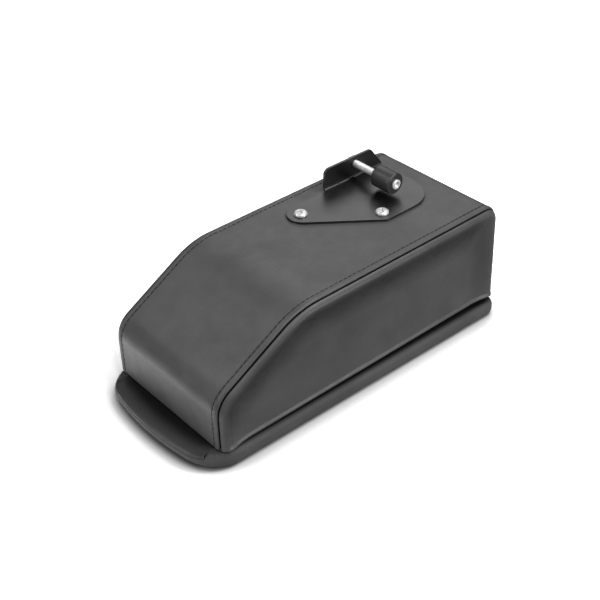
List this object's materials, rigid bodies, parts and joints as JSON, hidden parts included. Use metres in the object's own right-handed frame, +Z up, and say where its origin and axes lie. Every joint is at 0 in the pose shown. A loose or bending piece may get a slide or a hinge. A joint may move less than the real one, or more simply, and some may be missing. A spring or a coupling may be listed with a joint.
{
  "type": "car centre armrest",
  "caption": "Leatherette-covered car armrest box with a sloping nose and a hinged padded lid, lying on its lid, with a bracket and pivot sleeve on its underside.",
  "frame": {"origin": "middle of the footprint on the floor, under the lid's pad, with the armrest lying upside down", "axes": "+X along the length to the hinge end, +Y across to the side of the bracket's flange, +Z up"},
  "size_m": [0.2955, 0.1266, 0.1225],
  "materials": {
    "black_leatherette": "fine grain, semi-matt",
    "inner_leatherette": "fine grain, matt",
    "carcass_board": "bare plywood",
    "pad_foam": "open-cell foam",
    "carpet_lining": "needle-felt carpet",
    "zinc_steel": "bright zinc",
    "black_coated_steel": "satin powder coat",
    "black_plastic": "turned, satin"
  },
  "bodies": {
    "lid": {"lid_cover": "black_leatherette", "lid_foam": "pad_foam", "lid_board": "carcass_board", "lid_lining": "inner_leatherette", "hinge_leaf_lid": "zinc_steel", "hinge_pin": "zinc_steel", "hinge_screws_lid": "zinc_steel"},
    "box": {"near_side_board": "carcass_board", "far_side_board": "carcass_board", "rear_board": "carcass_board", "bottom_board": "carcass_board", "slope_board": "carcass_board", "nose_board": "carcass_board", "front_board": "carcass_board", "hinge_batten": "carcass_board", "cover_centre_strip": "black_leatherette", "cover_near_side": "black_leatherette", "cover_far_side": "black_leatherette", "lining_strip": "carpet_lining", "lining_near_side": "carpet_lining", "lining_far_side": "carpet_lining", "hinge_leaf_box": "zinc_steel", "hinge_screws_box": "zinc_steel", "bracket_screws": "zinc_steel", "bracket_washers": "zinc_steel", "bracket_nuts": "zinc_steel", "pivot_stud": "zinc_steel", "stud_lock_nut": "zinc_steel", "bracket_plate": "black_coated_steel", "pivot_sleeve": "black_plastic"}
  },
  "joints": [
    {"name": "lid_hinge", "type": "hinge", "parent": "lid", "child": "box", "pos_m": [0.1448, 0, 0.01659], "axis": [0, 1, 0], "range_deg": [0, 95]}
  ]
}
